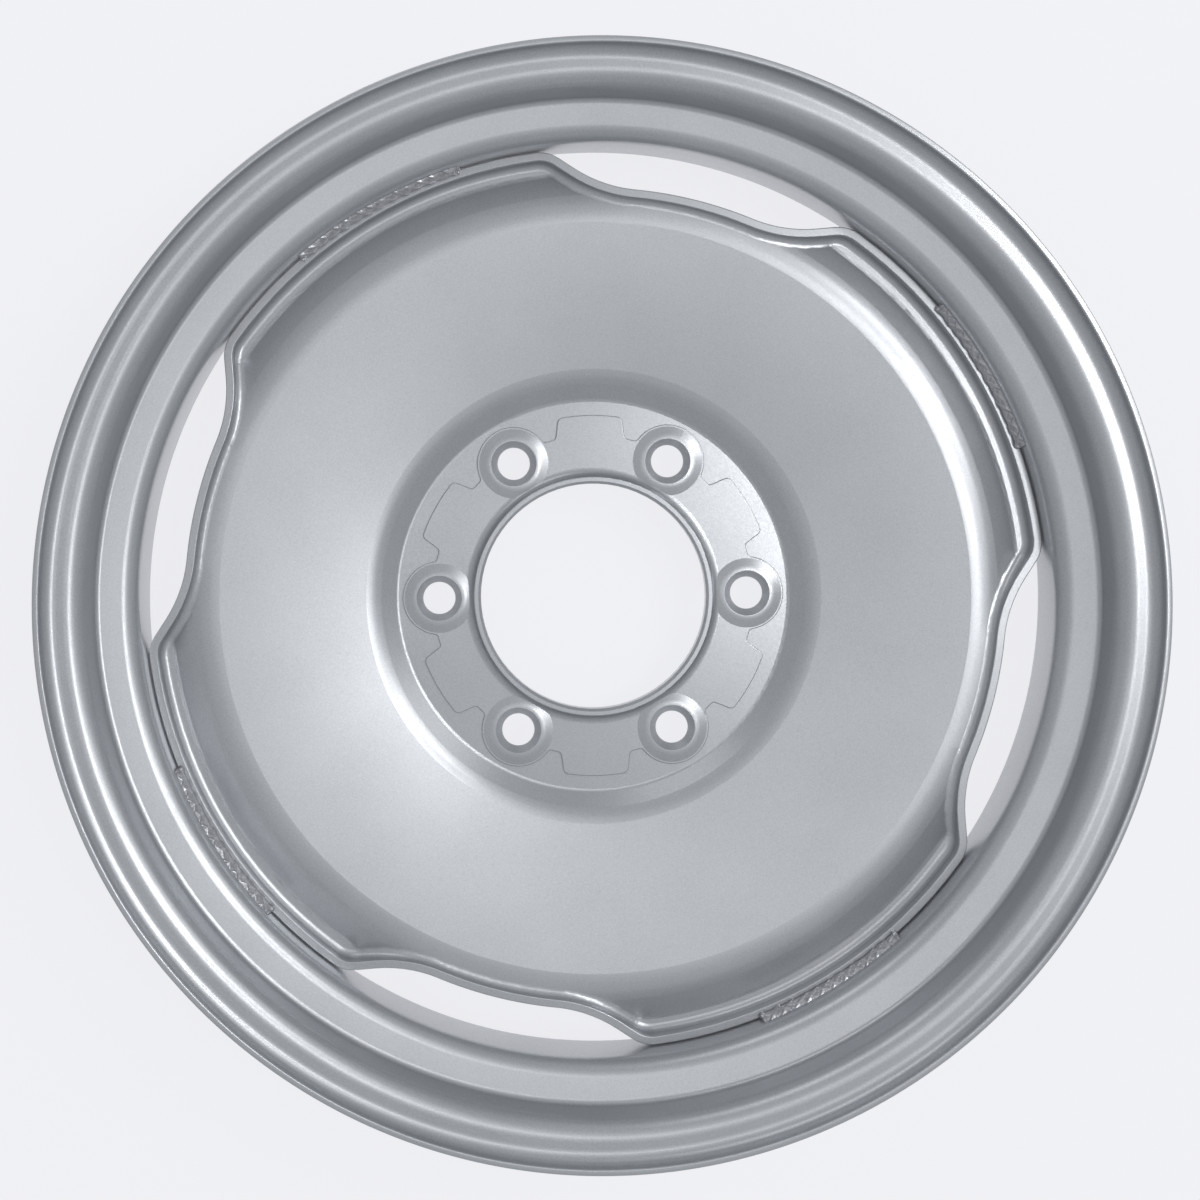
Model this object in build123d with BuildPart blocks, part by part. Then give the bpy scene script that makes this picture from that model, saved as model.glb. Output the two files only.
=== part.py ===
from build123d import *
from math import atan2, cos, degrees, hypot, radians, sin, tan
import os

# A pressed-steel wheel for a narrow front tyre: a rolled drop-centre rim, a dished disc
# pressed into its well, and four weld beads. Millimetres. The axis is Z, +Z points to the
# outboard side, and Z = 0 is the middle plane of the rim.

# Rim, rolled from one strip of sheet, the same to both sides of its middle plane
bead_seat_diameter = 481.8
flange_spacing = 76.2
flange_height = 17.5
rim_sheet = 3.0
lip_overhang = 10.9
curl_radius = 9.0
heel_radius = 6.5
seat_width = 19.6
seat_taper = 5.0
seat_bend_radius = 6.0
well_depth = 20.4
well_wall_lean = 10.0
well_bend_radius = 6.0
rim_edge_round = 0.7

# Valve hole in the inboard wall of the well
valve_hole_diameter = 11.3
valve_hole_angle = 270.0

# Disc, pressed from one round blank. The face that bolts to the hub lies inboard of the rim's
# middle plane by the offset, and the disc's other heights are counted from that face
disc_offset = 26.0
section_angle = 40.0
disc_sheet = 4.0
lip_to_rim_clearance = 0.5
lip_end_height = 27.5
lip_bend_radius = 3.5
lip_edge_round = 0.5
slot_count = 4
slot_depth = 18.8
slot_floor_half_angle = 12.8
slot_mouth_half_angle = 20.1
slot_floor_bend = 65.0
slot_mouth_bend = 17.0

# Bowl of the disc, by its outboard face: distances in from the lip, heights from the hub face
trough_inset = 10.5
trough_height = 18.5
crest_inset = 28.0
crest_height = 25.0
cone_run = 11.0
cone_top_height = 11.0
trough_bend_radius = 6.0
crest_bend_radius = 26.0
cone_top_bend_radius = 20.0
hub_bend_radius = 3.0

# Hub of the disc
bolt_circle_diameter = 152.4
bolt_count = 6
bolt_hole_diameter = 16.0
bolt_seat_depth = 3.2
bolt_angle_offset = 15.0
hub_margin = 20.8
pilot_bore_diameter = 111.0
collar_wall = 3.5
collar_rise = 5.8
collar_bend_radius = 4.5
collar_edge_round = 0.5
collar_lead_in = 1.3
bore_entry_radius = 3.0

# Relief pressed into the hub: a ring with pads between the bolts and an arch round each one
relief_height = 1.2
relief_ring_reach = 3.3
pad_reach = 13.3
pad_top_half_angle = 10.2
pad_foot_half_angle = 13.4
pad_corner_radius = 3.0
notch_radius = 2.0
relief_round = 0.5
arch_radius = 18.2
boss_height = 1.2
boss_top_radius = 12.6
boss_foot_radius = 17.2
boss_bend_radius = 9.0

# Weld beads, one on each land between two slots: the first and last angle of each
weld_spans = [(33.6, 54.6), (121.5, 145.0), (216.0, 238.0), (305.5, 326.0)]
weld_leg_on_rim = 7.5
weld_leg_on_lip = 3.2
weld_crown = 1.1
weld_end_round = 1.2

# Sizes worked out from those above
seat_radius = bead_seat_diameter / 2
flange_radius = seat_radius + flange_height
well_radius = seat_radius - well_depth
well_bore_radius = well_radius - rim_sheet
lip_radius = well_bore_radius - lip_to_rim_clearance
slot_floor_radius = lip_radius - slot_depth
slot_pitch = 360 / slot_count
bolt_circle_radius = bolt_circle_diameter / 2
bolt_hole_radius = bolt_hole_diameter / 2
hub_radius = bolt_circle_radius + hub_margin
cone_top_radius = hub_radius + cone_run
pilot_radius = pilot_bore_diameter / 2
collar_radius = pilot_radius + collar_wall
relief_ring_radius = bolt_circle_radius + relief_ring_reach
pad_radius = bolt_circle_radius + pad_reach
pad_face_height = disc_sheet + relief_height
boss_face_height = pad_face_height + boss_height
collar_end_height = pad_face_height + collar_rise
hub_plane = Plane.XY.offset(-disc_offset)
slot_section_plane = Plane(origin=(0, 0, -disc_offset), x_dir=(1, 0, 0), z_dir=(0, -1, 0))
disc_section_plane = slot_section_plane.rotated((0, 0, section_angle))


def polar(radius, angle):
    """A point of the plan, from its distance to the axis and its angle in degrees."""
    return (radius * cos(radians(angle)), radius * sin(radians(angle)))


def turn_at(before, corner, after):
    """How far a line turns at a corner, in degrees."""
    heading_in = atan2(corner[1] - before[1], corner[0] - before[0])
    heading_out = atan2(after[1] - corner[1], after[0] - corner[0])
    turn = abs(degrees(heading_out - heading_in)) % 360
    return min(turn, 360 - turn)


# Rim ring: one side of its tyre face, as radius and distance from the middle plane
seat_end_radius = seat_radius - seat_width * tan(radians(seat_taper))
seat_end = flange_spacing / 2 - seat_width
well_end = seat_end - (seat_end_radius - well_radius) * tan(radians(well_wall_lean))
half_section = [
    (flange_radius, flange_spacing / 2 + lip_overhang),
    (flange_radius, flange_spacing / 2),
    (seat_radius, flange_spacing / 2),
    (seat_end_radius, seat_end),
    (well_radius, well_end),
]
half_radii = [curl_radius, heel_radius, seat_bend_radius, well_bend_radius]
inboard_side = [(radius, -away) for radius, away in reversed(half_section)]

with BuildPart() as rim_ring:
    with BuildSketch(Plane.XZ) as rim_section:
        with BuildLine():
            FilletPolyline(half_section + inboard_side, radius=half_radii + half_radii[::-1])
            offset(amount=rim_sheet, side=Side.RIGHT)
        make_face()
        lip_corners = rim_section.vertices().group_by(Axis.Y)
        fillet(lip_corners[0] + lip_corners[-1], rim_edge_round)
    revolve()
    # The hole is square to the well's wall, half-way up it
    valve_radius = (seat_end_radius + well_radius) / 2
    valve_height = -(seat_end + well_end) / 2
    valve_place = polar(valve_radius, valve_hole_angle)
    valve_way = polar(sin(radians(well_wall_lean)), valve_hole_angle)
    valve_plane = Plane(
        origin=(valve_place[0], valve_place[1], valve_height),
        z_dir=(-valve_way[0], -valve_way[1], -cos(radians(well_wall_lean))),
    )
    with BuildSketch(valve_plane):
        Circle(valve_hole_diameter / 2)
    extrude(amount=2 * rim_sheet, both=True, mode=Mode.SUBTRACT)

rim_ring.part.label = "rim_ring"

# Plan of the disc: lands that follow the rim, and slots with a concentric floor
floor_corner = polar(slot_floor_radius, slot_floor_half_angle)
mouth_corner = polar(lip_radius, slot_mouth_half_angle)
flank_length = hypot(mouth_corner[0] - floor_corner[0], mouth_corner[1] - floor_corner[1])
floor_tangent = polar(1, slot_floor_half_angle + 90)
floor_before = (floor_corner[0] - floor_tangent[0], floor_corner[1] - floor_tangent[1])
floor_turn = turn_at(floor_before, floor_corner, mouth_corner)
floor_bend = min(slot_floor_bend, 0.65 * flank_length / tan(radians(floor_turn / 2)))

with BuildSketch() as disc_plan:
    with BuildLine():
        for slot in range(slot_count):
            middle = slot * slot_pitch
            CenterArc((0, 0), slot_floor_radius, middle - slot_floor_half_angle, 2 * slot_floor_half_angle)
            CenterArc((0, 0), lip_radius, middle + slot_mouth_half_angle, slot_pitch - 2 * slot_mouth_half_angle)
            for side in (-1, 1):
                Line(
                    polar(slot_floor_radius, middle + side * slot_floor_half_angle),
                    polar(lip_radius, middle + side * slot_mouth_half_angle),
                )
    make_face()
    fillet(disc_plan.vertices().sort_by_distance((0, 0))[: 2 * slot_count], floor_bend)
    fillet(disc_plan.vertices().sort_by_distance((0, 0))[-2 * slot_count :], slot_mouth_bend)

# Section of the disc: its outboard face from the axis out to the lip, and the face behind it
outboard_face = [
    (0, disc_sheet),
    (hub_radius, disc_sheet),
    (cone_top_radius, cone_top_height),
    (lip_radius - crest_inset, crest_height),
    (lip_radius - trough_inset, trough_height),
    (well_radius, trough_height),
]
outboard_bends = [hub_bend_radius, cone_top_bend_radius, crest_bend_radius, trough_bend_radius]


def face_behind(face, thickness):
    """The corners of a bent line, moved square to its runs towards -Z by the thickness."""
    headings = [
        atan2(end[1] - start[1], end[0] - start[0]) for start, end in zip(face, face[1:])
    ]
    moved = []
    for place, corner in enumerate(face):
        before = headings[max(place - 1, 0)]
        after = headings[min(place, len(headings) - 1)]
        middle = (before + after) / 2
        reach = thickness / cos((after - before) / 2)
        moved.append((corner[0] + reach * sin(middle), corner[1] - reach * cos(middle)))
    return moved


def bends_behind(face, bends, thickness):
    """Bend radii of the face behind: larger inside a hollow, smaller behind a ridge."""
    grown = []
    for before, corner, after, bend in zip(face, face[1:], face[2:], bends):
        slope_before = (corner[1] - before[1]) / (corner[0] - before[0])
        slope_after = (after[1] - corner[1]) / (after[0] - corner[0])
        hollow = slope_after > slope_before
        grown.append(bend + thickness if hollow else bend - thickness)
    return grown


inboard_face = face_behind(outboard_face, disc_sheet)
inboard_bends = bends_behind(outboard_face, outboard_bends, disc_sheet)


def pan(face, bends, plan, bottom_bend):
    """The solid over a face of the disc, cut to a plan and rounded where its wall meets it."""
    with BuildPart() as block:
        with BuildSketch(disc_section_plane):
            with BuildLine():
                FilletPolyline(face, radius=bends)
                Polyline(face[-1], (face[-1][0], lip_end_height), (0, lip_end_height), face[0])
            make_face()
        revolve()
        with BuildSketch(hub_plane):
            add(plan)
        extrude(amount=lip_end_height, mode=Mode.INTERSECT)
        walls = block.faces().filter_by(lambda side: abs(side.normal_at().Z) < 0.01)
        across = walls.edges().filter_by(lambda edge: abs(edge.tangent_at(0.5).Z) < 0.9)
        wall_foot = across.filter_by(lambda edge: edge.center().Z < lip_end_height - disc_offset - 1)
        fillet(wall_foot, bottom_bend)
    return block.part


with BuildSketch() as inside_plan:
    add(disc_plan.sketch)
    offset(amount=-disc_sheet, mode=Mode.REPLACE)

# Plan of the relief pressed into the hub, the same on both faces
bolt_angles = [bolt_angle_offset + bolt * 360 / bolt_count for bolt in range(bolt_count)]

with BuildSketch() as relief_plan:
    Circle(relief_ring_radius)
    with PolarLocations(bolt_circle_radius, bolt_count, bolt_angle_offset):
        Circle(arch_radius)
    for bolt_angle in bolt_angles:
        pad_middle = bolt_angle + 180 / bolt_count
        pad_ends = [
            polar(bolt_circle_radius, pad_middle - pad_foot_half_angle),
            polar(bolt_circle_radius, pad_middle + pad_foot_half_angle),
        ]
        with BuildLine():
            CenterArc((0, 0), pad_radius, pad_middle - pad_top_half_angle, 2 * pad_top_half_angle)
            Line(polar(pad_radius, pad_middle + pad_top_half_angle), pad_ends[1])
            Line(*pad_ends)
            Line(polar(pad_radius, pad_middle - pad_top_half_angle), pad_ends[0])
        make_face()
    pad_corners = relief_plan.vertices().sort_by_distance((0, 0))[-2 * bolt_count :]
    fillet(pad_corners, pad_corner_radius)
    notch_corners = relief_plan.vertices().sort_by_distance((0, 0))[: 4 * bolt_count]
    fillet(notch_corners, notch_radius)

with BuildPart() as relief:
    with BuildSketch(hub_plane):
        add(relief_plan.sketch)
    extrude(amount=relief_height)
    fillet(relief.faces().sort_by(Axis.Z)[-1].edges(), relief_round)

# The middle of the hub: the sheet turned outboard round the pilot bore
collar_foot_radius = collar_radius + collar_bend_radius + 1

with BuildPart() as collar:
    with BuildSketch(disc_section_plane):
        with BuildLine():
            FilletPolyline(
                (collar_foot_radius, relief_height),
                (pilot_radius, relief_height),
                (pilot_radius, collar_end_height - collar_lead_in),
                (pilot_radius + collar_lead_in, collar_end_height),
                (collar_radius, collar_end_height),
                (collar_radius, pad_face_height),
                (collar_foot_radius, pad_face_height),
                radius=[0, bore_entry_radius, 0, 0, collar_edge_round, collar_bend_radius, 0],
                close=True,
            )
        make_face()
    revolve()

# The low raised seat round each bolt, pressed with soft shoulders
with BuildPart() as boss:
    with BuildSketch(Plane.XZ):
        with BuildLine():
            FilletPolyline(
                (0, 0),
                (0, boss_height),
                (boss_top_radius, boss_height),
                (boss_foot_radius, 0),
                radius=[0, 0, boss_bend_radius, 0],
                close=True,
            )
        make_face()
    revolve()

with BuildPart() as wheel_disc:
    add(pan(inboard_face, inboard_bends, disc_plan.sketch, lip_bend_radius + disc_sheet))
    add(pan(outboard_face, outboard_bends, inside_plan.sketch, lip_bend_radius), mode=Mode.SUBTRACT)
    lip_end = wheel_disc.faces().filter_by(Axis.Z).sort_by(Axis.Z)[-1]
    fillet(lip_end.edges(), lip_edge_round)
    add(relief.part, mode=Mode.SUBTRACT)
    with Locations((0, 0, disc_sheet)):
        add(relief.part)
    Hole(collar_foot_radius)
    add(collar.part)
    with Locations(hub_plane.offset(pad_face_height)):
        with PolarLocations(bolt_circle_radius, bolt_count, bolt_angle_offset):
            add(boss.part)
    with Locations(hub_plane.offset(relief_height)):
        with PolarLocations(bolt_circle_radius, bolt_count, bolt_angle_offset):
            add(boss.part, mode=Mode.SUBTRACT)
    with Locations(hub_plane.offset(boss_face_height)):
        with PolarLocations(bolt_circle_radius, bolt_count, bolt_angle_offset):
            CounterSinkHole(bolt_hole_radius, bolt_hole_radius + bolt_seat_depth, counter_sink_angle=90)

wheel_disc.part.label = "wheel_disc"

# Weld beads: a crowned fillet in the corner between the end of the lip and the rim's well
weld_beads = []
rim_toe = (well_bore_radius, lip_end_height + weld_leg_on_rim)
lip_toe = (well_bore_radius - weld_leg_on_lip, lip_end_height)
weld_slope = atan2(weld_leg_on_rim, weld_leg_on_lip)
weld_middle = (
    (rim_toe[0] + lip_toe[0]) / 2 - weld_crown * sin(weld_slope),
    (rim_toe[1] + lip_toe[1]) / 2 + weld_crown * cos(weld_slope),
)
for number, (first_angle, last_angle) in enumerate(weld_spans, start=1):
    with BuildPart() as weld_bead:
        with BuildSketch(slot_section_plane.rotated((0, 0, first_angle))):
            with BuildLine():
                ThreePointArc(rim_toe, weld_middle, lip_toe)
                Polyline(lip_toe, (well_bore_radius, lip_end_height), rim_toe)
            make_face()
        revolve(revolution_arc=last_angle - first_angle)
        crown = weld_bead.faces().sort_by(SortBy.AREA)[-1]
        crown_ends = crown.edges().filter_by(lambda edge: edge.length < 2 * weld_leg_on_rim)
        fillet(crown_ends, weld_end_round)
    weld_bead.part.label = f"weld_bead_{number}"
    weld_beads.append(weld_bead.part)

os.makedirs("parts", exist_ok=True)
for piece in [rim_ring.part, wheel_disc.part] + weld_beads:
    export_step(piece, f"parts/{piece.label}.step")
    print(piece.label, "solids", len(piece.solids()), "volume", round(piece.volume), "valid", piece.is_valid)
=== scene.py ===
# %% [markdown]
# This scene dresses a pressed-steel wheel: a rolled rim, a dished disc pressed into it, and four
# weld beads, all under one coat of silver-grey paint. The solids come from the CAD frame, in
# metres, with the wheel lying on its inboard flange, its axis on Z and its outboard side up.
# Loading comes first, because every later step takes its places from these solids.

# %% Load the frame
import random
from math import atan2, cos, pi, radians, sin, tan

import bpy
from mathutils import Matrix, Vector


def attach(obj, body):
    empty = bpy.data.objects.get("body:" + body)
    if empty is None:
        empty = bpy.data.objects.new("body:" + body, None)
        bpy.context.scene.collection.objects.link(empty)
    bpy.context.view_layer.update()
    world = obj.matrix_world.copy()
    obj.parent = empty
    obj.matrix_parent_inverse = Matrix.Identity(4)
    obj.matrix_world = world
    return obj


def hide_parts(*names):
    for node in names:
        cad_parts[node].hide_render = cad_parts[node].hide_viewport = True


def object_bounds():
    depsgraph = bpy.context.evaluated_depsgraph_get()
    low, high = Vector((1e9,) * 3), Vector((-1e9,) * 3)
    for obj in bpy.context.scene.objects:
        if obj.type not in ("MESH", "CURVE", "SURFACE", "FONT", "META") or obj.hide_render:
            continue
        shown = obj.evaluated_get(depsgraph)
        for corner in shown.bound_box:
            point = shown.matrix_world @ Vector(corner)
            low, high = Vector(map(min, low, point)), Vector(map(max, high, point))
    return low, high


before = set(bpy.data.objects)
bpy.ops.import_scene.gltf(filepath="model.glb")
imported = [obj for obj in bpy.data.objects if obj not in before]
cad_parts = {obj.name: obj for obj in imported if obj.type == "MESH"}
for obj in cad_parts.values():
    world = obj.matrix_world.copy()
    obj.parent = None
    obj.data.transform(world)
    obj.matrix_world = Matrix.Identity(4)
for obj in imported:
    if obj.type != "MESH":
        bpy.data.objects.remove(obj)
cad_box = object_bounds()
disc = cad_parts["wheel_disc"]


def in_mm(box):
    """The two corners of a box in millimetres, to read."""
    return [[round(value * 1000, 1) for value in corner] for corner in box]


print("CAD box in mm:", in_mm(cad_box))

# %% [markdown]
# Sizes are easier to read in millimetres, but Blender works in metres here. One factor turns one
# into the other. The weld beads lie in the corner between the bore of the rim's well and the end of
# the disc's lip, so those two sizes are given, and the angles at which each bead starts and ends.

# %% Sizes of the wheel where the new pieces meet it
MM = 0.001
well_bore_radius = 217.5 * MM
lip_end_height = 1.5 * MM
wheel_floor_height = cad_box[0].z
wheel_top_height = cad_box[1].z
weld_spans = [(33.6, 54.6), (121.5, 145.0), (216.0, 238.0), (305.5, 326.0)]
print("the wheel stands on", round(wheel_floor_height / MM, 1), "mm")

# %% [markdown]
# The photograph looks down the axis of the wheel, turned by 14 degrees round it. Every light and
# the camera are placed in the photograph's own directions, so these are worked out once: right
# and up in the picture, and out of the picture towards the viewer.

# %% Directions of the photograph
PHOTO_TURN = radians(14)
photo_right = Vector((cos(PHOTO_TURN), sin(PHOTO_TURN), 0))
photo_up = Vector((-sin(PHOTO_TURN), cos(PHOTO_TURN), 0))
photo_out = Vector((0, 0, 1))


def photo_point(right, up, out):
    """A point given in the photograph's directions, in metres from the middle of the wheel."""
    return photo_right * right + photo_up * up + photo_out * out


print("photo right:", [round(value, 3) for value in photo_right])

# %% [markdown]
# Colours are picked as hex values in sRGB, which is how a screen shows them, while Blender's
# shaders count in linear light. One function does the step between the two.

# %% Colour helper
def colour(hex_value):
    """A linear RGBA colour from an sRGB hex value such as 'A0A5A8'."""
    channels = []
    for start in (0, 2, 4):
        value = int(hex_value[start:start + 2], 16) / 255
        channels.append(value / 12.92 if value <= 0.04045 else ((value + 0.055) / 1.055) ** 2.4)
    return (*channels, 1.0)


print("colour('B4B9BC') is", [round(value, 3) for value in colour("B4B9BC")])

# %% [markdown]
# A material is a small net of nodes. One helper adds any node with its settings and links, so
# each material below reads as a list of what feeds what.

# %% Node helper
def add_node(tree, kind, settings=None, inputs=None):
    """Adds a node. A value in inputs is either a plain value or another node's output."""
    node = tree.nodes.new(kind)
    for name, value in (settings or {}).items():
        setattr(node, name, value)
    for name, value in (inputs or {}).items():
        if isinstance(value, bpy.types.NodeSocket):
            tree.links.new(value, node.inputs[name])
        else:
            node.inputs[name].default_value = value
    return node


def per_metre(size_mm):
    """The scale of a texture whose features are this many millimetres apart."""
    return 1000 / size_mm


print("a 2 mm pattern has scale", per_metre(2))

# %% [markdown]
# The finish is silver wheel paint: aluminium flakes in a clear binder, sprayed on degreased steel
# and baked. To the eye that is a satin, slightly blue grey that lights up broadly where it faces
# a lamp, with a fine grain from the flakes, a soft orange-peel from the spray, and a thin clear
# skin that keeps a faint sharper gleam on edges. The flakes act as a rough metal, so the shader
# is mostly metallic and fairly rough, with a little clear coat. Real flakes are 0.03 mm, which
# no picture of a whole wheel shows, so the grain is drawn at 0.7 mm. A Mix node has sockets for
# each kind of value under the same names, so its colour sockets are picked by number.

# %% Silver wheel paint
GRAIN_MM = 0.7
MOTTLE_MM = 45.0
PEEL_MM = 2.6
GRAIN_DEPTH_MM = 0.01
MOTTLE_SHARE = 0.35
DARKEST, LIGHTEST = 0.35, 1.0
SATIN_SPREAD = 0.04
MIX_DARK, MIX_LIGHT, MIX_RESULT = 6, 7, 2


def silver_paint(name, light_hex, dark_hex, roughness, peel_depth_mm):
    """Baked silver paint: grain and mottling in its colour, orange-peel in its surface."""
    material = bpy.data.materials.new(name)
    material.use_nodes = True
    tree = material.node_tree
    tree.nodes.clear()
    place = add_node(tree, "ShaderNodeTexCoord").outputs["Object"]
    grain = add_node(tree, "ShaderNodeTexNoise", {"noise_dimensions": "3D"}, {
        "Vector": place, "Scale": per_metre(GRAIN_MM), "Detail": 2.0, "Roughness": 0.6})
    mottle = add_node(tree, "ShaderNodeTexNoise", None, {
        "Vector": place, "Scale": per_metre(MOTTLE_MM), "Detail": 3.0, "Roughness": 0.5})
    both = add_node(tree, "ShaderNodeMath", {"operation": "MULTIPLY_ADD"}, {
        0: mottle.outputs["Fac"], 1: MOTTLE_SHARE, 2: grain.outputs["Fac"]})
    spread = add_node(tree, "ShaderNodeMapRange", None, {
        "Value": both.outputs[0], "From Min": DARKEST, "From Max": LIGHTEST})
    tint = add_node(tree, "ShaderNodeMix", {"data_type": "RGBA"}, {
        "Factor": spread.outputs["Result"],
        MIX_DARK: colour(dark_hex), MIX_LIGHT: colour(light_hex)})
    satin = add_node(tree, "ShaderNodeMapRange", None, {
        "Value": spread.outputs["Result"],
        "To Min": roughness + SATIN_SPREAD, "To Max": roughness - SATIN_SPREAD})
    peel = add_node(tree, "ShaderNodeTexNoise", None, {
        "Vector": place, "Scale": per_metre(PEEL_MM), "Detail": 1.0, "Roughness": 0.4})
    peel_bump = add_node(tree, "ShaderNodeBump", None, {
        "Height": peel.outputs["Fac"], "Strength": 1.0, "Distance": peel_depth_mm * MM})
    grain_bump = add_node(tree, "ShaderNodeBump", None, {
        "Height": grain.outputs["Fac"], "Strength": 0.5, "Distance": GRAIN_DEPTH_MM * MM,
        "Normal": peel_bump.outputs["Normal"]})
    shader = add_node(tree, "ShaderNodeBsdfPrincipled", None, {
        "Base Color": tint.outputs[MIX_RESULT], "Metallic": 0.8,
        "Roughness": satin.outputs["Result"], "Normal": grain_bump.outputs["Normal"],
        "Coat Weight": 0.22, "Coat Roughness": 0.16})
    add_node(tree, "ShaderNodeOutputMaterial", None, {"Surface": shader.outputs["BSDF"]})
    return material


rim_paint = silver_paint("silver_paint_on_rolled_steel", "C4C6CA", "ABAEB2", 0.32, 0.010)
disc_paint = silver_paint("silver_paint_on_pressed_steel", "C3C5C9", "AAADB1", 0.32, 0.013)
weld_paint = silver_paint("silver_paint_on_weld_metal", "CACACE", "9FA1A5", 0.30, 0.03)
print("paints:", rim_paint.name, disc_paint.name, weld_paint.name)

# %% [markdown]
# The disc keeps its CAD mesh, which has the true pressed shape, and gets the paint in every
# material slot.

# %% Paint the disc
for slot in disc.material_slots:
    slot.material = disc_paint
print(disc.name, "has", len(disc.data.polygons), "faces")

# %% [markdown]
# Every new piece needs the same two small steps: one object selected and active, because an
# operator works on all that is selected, and its modifiers applied in order at the end.

# %% Selection and modifier helpers
def select_only(*objects):
    """Makes these the only selected objects, and the first of them the active one."""
    bpy.ops.object.select_all(action="DESELECT")
    for item in objects:
        item.select_set(True)
    bpy.context.view_layer.objects.active = objects[0]


def apply_modifiers(item):
    """Applies all the modifiers of one object, in order."""
    select_only(item)
    for name in [modifier.name for modifier in item.modifiers]:
        bpy.ops.object.modifier_apply(modifier=name)


def finish_piece(item, material, nodes):
    """Gives a piece its paint, and says which CAD nodes it stands for."""
    item.data.materials.clear()
    item.data.materials.append(material)
    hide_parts(*nodes)
    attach(item, "root")
    print(item.name, "has", len(item.data.polygons), "faces and replaces", *nodes)


# %% [markdown]
# The rim was rolled from one strip of 3 mm sheet: a curled flange, a bead seat that tapers by 5
# degrees, and a well in the middle, mirrored to the other side. Long highlights run along its
# bends, and they show every uneven facet, so the rim gets an even mesh here: its tyre side is
# drawn as a line, spun round the axis, and given its thickness towards the axis by Solidify.
# First the corners of that line, with the radius of the bend at each.

# %% Section of the rim
BEND_STEPS = 7
RIM_SHEET = 3.0 * MM
half_corners = [
    (258.4, 49.0, 0.0),
    (258.4, 38.1, 9.0),
    (240.9, 38.1, 6.5),
    (239.185, 18.5, 6.0),
    (220.5, 15.205, 6.0),
]
mirrored_corners = [(radius, -height, bend) for radius, height, bend in half_corners[::-1]]
rim_corners = half_corners + mirrored_corners


def bend_points(before, corner, after, bend):
    """The points of a round bend at a corner of a line in the section."""
    way_in = (before - corner).normalized()
    way_out = (after - corner).normalized()
    half_angle = way_in.angle(way_out) / 2
    middle = corner + (way_in + way_out).normalized() * bend / sin(half_angle)
    first = (corner + way_in * bend / tan(half_angle) - middle).normalized()
    last = (corner + way_out * bend / tan(half_angle) - middle).normalized()
    return [middle + bend * first.slerp(last, step / BEND_STEPS) for step in range(BEND_STEPS + 1)]


def section_line(corners):
    """Points in the XZ plane along corners given as radius, height and bend, in millimetres."""
    places = [Vector((radius * MM, 0, height * MM)) for radius, height, _ in corners]
    line = [places[0]]
    for index in range(1, len(corners) - 1):
        bend = corners[index][2] * MM
        line += bend_points(places[index - 1], places[index], places[index + 1], bend)
    return line + [places[-1]]


rim_line = section_line(rim_corners)
print("the rim's section has", len(rim_line), "points")

# %% [markdown]
# The line is drawn as by hand: a small plane is merged to one vertex, which is then extruded from
# point to point, and Spin carries the line once round the axis. Its last copy falls on its first,
# so doubled points are merged. A spun face can point either way, so the normals are worked out
# again and turned to the tyre side, because Solidify puts the thickness behind them.

# %% Draw the section and spin it
SPIN_STEPS = 288
MERGE_DISTANCE = 0.01 * MM


def draw_line(name, points):
    """One line of edges, drawn from a single vertex by extruding it from point to point."""
    bpy.ops.object.select_all(action="DESELECT")
    bpy.ops.mesh.primitive_plane_add(size=MM, location=(0, 0, 0))
    item = bpy.context.object
    item.name = item.data.name = name
    bpy.ops.object.mode_set(mode="EDIT")
    bpy.ops.mesh.merge(type="CENTER")
    bpy.ops.transform.translate(value=points[0])
    for here, there in zip(points, points[1:]):
        bpy.ops.mesh.extrude_region_move(TRANSFORM_OT_translate={"value": there - here})
    bpy.ops.object.mode_set(mode="OBJECT")
    return item


rim_piece = draw_line("rim_ring_rolled", rim_line)
bpy.ops.object.mode_set(mode="EDIT")
bpy.ops.mesh.select_all(action="SELECT")
bpy.ops.mesh.spin(steps=SPIN_STEPS, angle=2 * pi, center=(0, 0, 0), axis=(0, 0, 1))
bpy.ops.mesh.select_all(action="SELECT")
bpy.ops.mesh.remove_doubles(threshold=MERGE_DISTANCE)
bpy.ops.mesh.normals_make_consistent(inside=False)
bpy.ops.object.mode_set(mode="OBJECT")
well_face = min(rim_piece.data.polygons, key=lambda face: abs(face.center.z) + face.center.xy.length)
if well_face.normal.dot(well_face.center) < 0:
    select_only(rim_piece)
    bpy.ops.object.mode_set(mode="EDIT")
    bpy.ops.mesh.select_all(action="SELECT")
    bpy.ops.mesh.flip_normals()
    bpy.ops.object.mode_set(mode="OBJECT")
print("the tyre side has", len(rim_piece.data.polygons), "faces")

# %% [markdown]
# Solidify adds the sheet's thickness on the side away from the tyre, and a small bevel rounds the
# edges of the two lips, which the rolling mill leaves slightly broken. The valve hole is drilled
# last, with a cylinder and a boolean cut, square to the well's wall on the inboard side.

# %% Thickness, broken edges and valve hole
LIP_EDGE_ROUND = 0.7 * MM
LIP_EDGE_SEGMENTS = 3
LIP_EDGE_ANGLE = radians(60)
SMOOTH_ANGLE = radians(35)
VALVE_RADIUS = 5.65 * MM
VALVE_FROM_AXIS = 229.84 * MM
VALVE_HEIGHT = -16.85 * MM
VALVE_LEAN = radians(10)
DRILL_LENGTH = 20 * MM
sheet = rim_piece.modifiers.new("sheet", "SOLIDIFY")
sheet.thickness = RIM_SHEET
sheet.offset = -1
sheet.use_even_offset = True
edges = rim_piece.modifiers.new("broken_edges", "BEVEL")
edges.width = LIP_EDGE_ROUND
edges.segments = LIP_EDGE_SEGMENTS
edges.limit_method = "ANGLE"
edges.angle_limit = LIP_EDGE_ANGLE
apply_modifiers(rim_piece)

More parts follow.
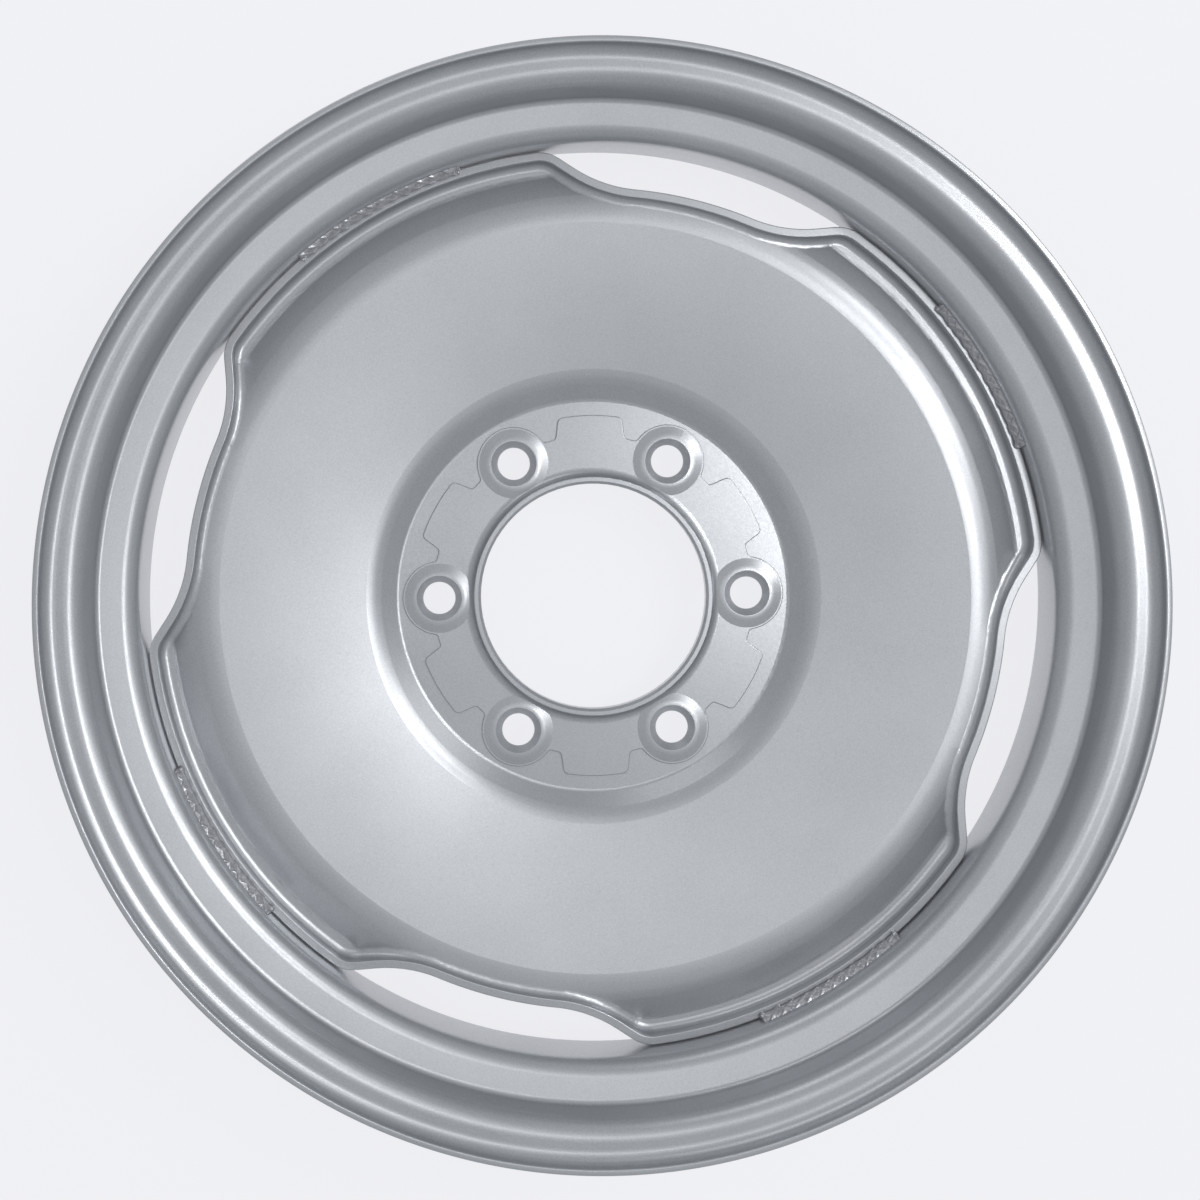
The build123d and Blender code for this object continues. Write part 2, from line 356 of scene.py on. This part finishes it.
bpy.ops.object.select_all(action="DESELECT")
bpy.ops.mesh.primitive_cylinder_add(
    vertices=48, radius=VALVE_RADIUS, depth=DRILL_LENGTH,
    location=(0, -VALVE_FROM_AXIS, VALVE_HEIGHT), rotation=(VALVE_LEAN, 0, 0),
)
drill = bpy.context.object
hole = rim_piece.modifiers.new("valve_hole", "BOOLEAN")
hole.operation = "DIFFERENCE"
hole.object = drill
apply_modifiers(rim_piece)
bpy.data.objects.remove(drill)
bpy.ops.object.shade_smooth_by_angle(angle=SMOOTH_ANGLE)
finish_piece(rim_piece, rim_paint, ["rim_ring"])

# %% [markdown]
# A weld bead is a row of small puddles, each frozen over the edge of the one before. These beads
# were woven from side to side in the corner between the lip of the disc and the well, so long
# slanted strokes lie over an even core. A tube with a bumpy material could suggest that, but the
# strokes show as shape, so each puddle is modelled: one flattened ball is made, copied along the
# corner and joined. A voxel remesh then melts the copies into one skin.

# %% Puddle sizes
LEG_ON_WELL = 7.5 * MM
LEG_ON_LIP = 3.2 * MM
CORE_PITCH = 1.2 * MM
CORE_SHARE = 0.74
CORE_LONGER = 1.1
STROKE_PITCH = 3.3 * MM
STROKE_SLANT = radians(52)
STROKE_LONGER = 1.5
STROKE_LEAST, STROKE_MOST = 0.9, 1.02
PLACE_JITTER = 0.25
SLANT_JITTER = 0.2
PUDDLE_HALF_ALONG = 1.2 * MM
PUDDLE_HALF_THICK = 2.2 * MM
PUDDLE_HALF_LONG = 4.1 * MM
CROWN = 1.0 * MM
MELT_VOXEL = 0.3 * MM
slope = atan2(LEG_ON_WELL, LEG_ON_LIP)
bead_radius = well_bore_radius - LEG_ON_LIP / 2 + (PUDDLE_HALF_THICK - CROWN) * sin(slope)
bead_height = lip_end_height + LEG_ON_WELL / 2 - (PUDDLE_HALF_THICK - CROWN) * cos(slope)
print("a bead has a stroke every", round(STROKE_PITCH / MM, 2), "mm")

# %% [markdown]
# A puddle is a ball made thin along the bead and long across it. Each copy is turned to lie on the
# slope between the two legs of the fillet, and slanted. Its middle lies under the slope, by half
# its thickness less the crown, so that only the crown stands out.

# %% One puddle, and a copy in its place
def add_puddle():
    """One frozen puddle: a ball flattened against the slope and along the bead."""
    bpy.ops.object.select_all(action="DESELECT")
    bpy.ops.mesh.primitive_uv_sphere_add(segments=18, ring_count=12, radius=1, location=(0, 0, 0))
    puddle = bpy.context.object
    puddle.scale = (PUDDLE_HALF_THICK, PUDDLE_HALF_ALONG, PUDDLE_HALF_LONG)
    bpy.ops.object.transform_apply(location=False, rotation=False, scale=True)
    return puddle


def copy_puddle(pattern, angle, slant, grow, longer):
    """A copy of the puddle at this angle round the wheel, slanted to one side of the bead."""
    select_only(pattern)
    bpy.ops.object.duplicate()
    puddle = bpy.context.object
    puddle.location = (bead_radius * cos(angle), bead_radius * sin(angle), bead_height)
    puddle.rotation_euler = (slant, pi / 2 - slope, angle)
    puddle.scale = (grow, grow, grow * longer)
    return puddle


print("a puddle is", round(2 * PUDDLE_HALF_LONG / MM, 2), "mm long across the bead")

# %% [markdown]
# A bead gets three sorts of puddle: a full one at each end, a row of smaller ones close together as
# its core, and longer ones over it that slant to one side and the other in turn. A random number
# generator with its own seed moves these strokes by up to a quarter of their spacing, turns them by
# up to 0.2 radians and varies their size, as a welder's hand does. So the four beads differ, and
# each comes out the same in every run.

# %% Puddles along a bead, melted into one skin
def lay_puddles(first, last, rng):
    """The puddles of a bead between two angles: its ends, its core and its slanted strokes."""
    length = (last - first) * bead_radius
    pattern = add_puddle()
    puddles = [copy_puddle(pattern, angle, 0, 1, 1) for angle in (first, last)]
    core_count = round(length / CORE_PITCH)
    for index in range(core_count + 1):
        angle = first + (last - first) * index / core_count
        puddles.append(copy_puddle(pattern, angle, 0, CORE_SHARE, CORE_LONGER))
    stroke_count = round(length / STROKE_PITCH)
    for index in range(1, stroke_count):
        place = index + rng.uniform(-PLACE_JITTER, PLACE_JITTER)
        angle = first + (last - first) * place / stroke_count
        slant = STROKE_SLANT * (-1) ** index + rng.uniform(-SLANT_JITTER, SLANT_JITTER)
        grow = rng.uniform(STROKE_LEAST, STROKE_MOST)
        puddles.append(copy_puddle(pattern, angle, slant, grow, STROKE_LONGER))
    bpy.data.objects.remove(pattern)
    return puddles


def add_bead(name, first_deg, last_deg, seed):
    """A woven bead from one angle to the other, as one closed mesh."""
    first = radians(first_deg) + PUDDLE_HALF_ALONG / bead_radius
    last = radians(last_deg) - PUDDLE_HALF_ALONG / bead_radius
    puddles = lay_puddles(first, last, random.Random(seed))
    select_only(*puddles)
    bpy.ops.object.join()
    bead = bpy.context.object
    bead.name = bead.data.name = name
    bpy.ops.object.transform_apply(location=True, rotation=True, scale=True)
    melt = bead.modifiers.new("melt", "REMESH")
    melt.mode = "VOXEL"
    melt.voxel_size = MELT_VOXEL
    apply_modifiers(bead)
    return bead, (first, last)


beads = []
for number, (first_deg, last_deg) in enumerate(weld_spans, 1):
    bead, ends = add_bead(f"weld_bead_{number}_rippled", first_deg, last_deg, seed=number)
    beads.append((bead, ends))
    print(bead.name, "has", len(bead.data.polygons), "faces")

# %% [markdown]
# Each end of a bead has a crater, where the arc was started or cut off. It is cut with a small
# ball in the sloping face of the bead. Two light smoothing passes round what the voxels and the cut
# left sharp, as paint does.

# %% Craters and smoothing
CRATER_RADIUS = 1.3 * MM
CRATER_INSET = 2.2 * MM
CRATER_RISE = 1.3 * MM
SOFTEN_FACTOR = 0.5
SOFTEN_PASSES = 2


def sink_crater(bead, angle):
    """Cuts the dimple of an arc that was started or cut off at this angle."""
    radius = bead_radius - CRATER_INSET
    bpy.ops.object.select_all(action="DESELECT")
    bpy.ops.mesh.primitive_uv_sphere_add(
        segments=24, ring_count=16, radius=CRATER_RADIUS,
        location=(radius * cos(angle), radius * sin(angle), bead_height + CRATER_RISE),
    )
    ball = bpy.context.object
    cut = bead.modifiers.new("crater", "BOOLEAN")
    cut.operation = "DIFFERENCE"
    cut.object = ball
    apply_modifiers(bead)
    bpy.data.objects.remove(ball)


for bead, ends in beads:
    for angle in ends:
        sink_crater(bead, angle)
    soften = bead.modifiers.new("soften", "SMOOTH")
    soften.factor = SOFTEN_FACTOR
    soften.iterations = SOFTEN_PASSES
    apply_modifiers(bead)
    bpy.ops.object.shade_smooth()
    finish_piece(bead, weld_paint, [bead.name.removesuffix("_rippled")])

# %% [markdown]
# The floor is a plain pale sheet, 30 m wide, so that its edge is far from the wheel in a slanted
# view too. Light of its own keeps it near white in the holes of the wheel, as a lit white backdrop
# does, while it still takes soft shadows.

# %% Floor
FLOOR_WIDTH = 30
bpy.ops.object.select_all(action="DESELECT")
bpy.ops.mesh.primitive_plane_add(size=FLOOR_WIDTH, location=(0, 0, wheel_floor_height))
floor = bpy.context.object
floor.name = "studio_floor"
floor_paint = bpy.data.materials.new("matt_white_backdrop")
floor_paint.use_nodes = True
floor_tree = floor_paint.node_tree
floor_tree.nodes.clear()
floor_shader = add_node(floor_tree, "ShaderNodeBsdfPrincipled", None, {
    "Base Color": colour("5A5C5F"), "Roughness": 0.85, "Specular IOR Level": 0.1,
    "Emission Color": colour("FCFCFF"), "Emission Strength": 0.82})
add_node(floor_tree, "ShaderNodeOutputMaterial", None, {"Surface": floor_shader.outputs["BSDF"]})
floor.data.materials.append(floor_paint)
print("floor at", round(wheel_floor_height / MM, 1), "mm")

# %% [markdown]
# The light is a studio with soft boxes of several sizes. The wheel is nearly a mirror for them,
# so each was placed by working out which way a lit patch of the photograph reflects. A wide, weak
# one hangs overhead. A pair to the right makes the glow low on the left of the bowl and the bright
# rolls on the right, a small one makes the faint glow on the right of the bowl, and two high ones
# light the lower walls of the cone. Each call gives the direction round the photograph from its
# right, the angle off the wheel's axis, the distance and size in metres, and the watts.

# %% Soft boxes
def soft_box(name, azimuth_deg, off_axis_deg, distance, width, height, watts):
    """An area light that looks at the wheel, placed by angles in the photograph."""
    azimuth, lean = radians(azimuth_deg), radians(off_axis_deg)
    side = sin(lean) * distance
    place = photo_point(side * cos(azimuth), side * sin(azimuth), cos(lean) * distance)
    bpy.ops.object.light_add(type="AREA", location=place)
    lamp = bpy.context.object
    lamp.name = name
    lamp.data.shape = "RECTANGLE"
    lamp.data.size, lamp.data.size_y = width, height
    lamp.data.energy = watts
    lamp.rotation_euler = (-place).to_track_quat("-Z", "Y").to_euler()
    print(name, "at", [round(value, 2) for value in place])


soft_box("overhead_wide", 0, 0, 2.0, 3.0, 3.0, 3.1)
soft_box("key_near_axis", 8, 18, 1.8, 0.3, 0.3, 3.3)
soft_box("key_upper_right", 28, 37, 1.8, 0.5, 0.5, 4.2)
soft_box("weak_left", 168, 7, 1.8, 0.25, 0.25, 0.35)
soft_box("high_right", 31, 60, 1.9, 1.0, 0.6, 1.7)
soft_box("high_top", 115, 60, 1.9, 1.0, 0.6, 2.0)

# %% [markdown]
# Pale air all round fills in what no soft box reaches, as the white walls of a studio do. The
# Standard view shows the render's colours as they are, where Blender's usual one greys the whites.

# %% World and view
world = bpy.data.worlds.new("studio_air")
bpy.context.scene.world = world
world.use_nodes = True
world.node_tree.nodes.clear()
air = add_node(world.node_tree, "ShaderNodeBackground", None, {
    "Color": colour("F0F2F4"), "Strength": 0.55})
add_node(world.node_tree, "ShaderNodeOutputWorld", None, {"Surface": air.outputs["Background"]})
bpy.context.scene.view_settings.view_transform = "Standard"
bpy.context.scene.view_settings.look = "None"
print("view transform:", bpy.context.scene.view_settings.view_transform)

# %% [markdown]
# The rings of the photograph are shifted against each other by their depth, but each is round, so
# the camera looked straight along the axis from a little above and left of it, and the picture
# was cropped to the wheel. The camera here does the same: it looks straight down, 0.73 m from the
# rim's face, and a small lens shift does the cropping. The camera's place, and the middle of its
# frame on the rim's face, are given in metres to the right of the axis and above it.

# %% Camera
CAMERA_DISTANCE = 0.73
LENS_MM, SENSOR_MM = 48.4, 36
camera_right, camera_up = -0.048, 0.053
frame_right, frame_up = -0.0010, 0.0026
frame_width = CAMERA_DISTANCE * SENSOR_MM / LENS_MM
bpy.ops.object.camera_add(
    location=photo_point(camera_right, camera_up, wheel_top_height + CAMERA_DISTANCE),
    rotation=(0, 0, PHOTO_TURN),
)
camera = bpy.context.object
camera.name = "photo_camera"
camera.data.sensor_width = SENSOR_MM
camera.data.lens = LENS_MM
camera.data.shift_x = (frame_right - camera_right) / frame_width
camera.data.shift_y = (frame_up - camera_up) / frame_width
camera.data.clip_start = 0.01
bpy.context.scene.camera = camera
print("lens shift:", round(camera.data.shift_x, 3), round(camera.data.shift_y, 3))
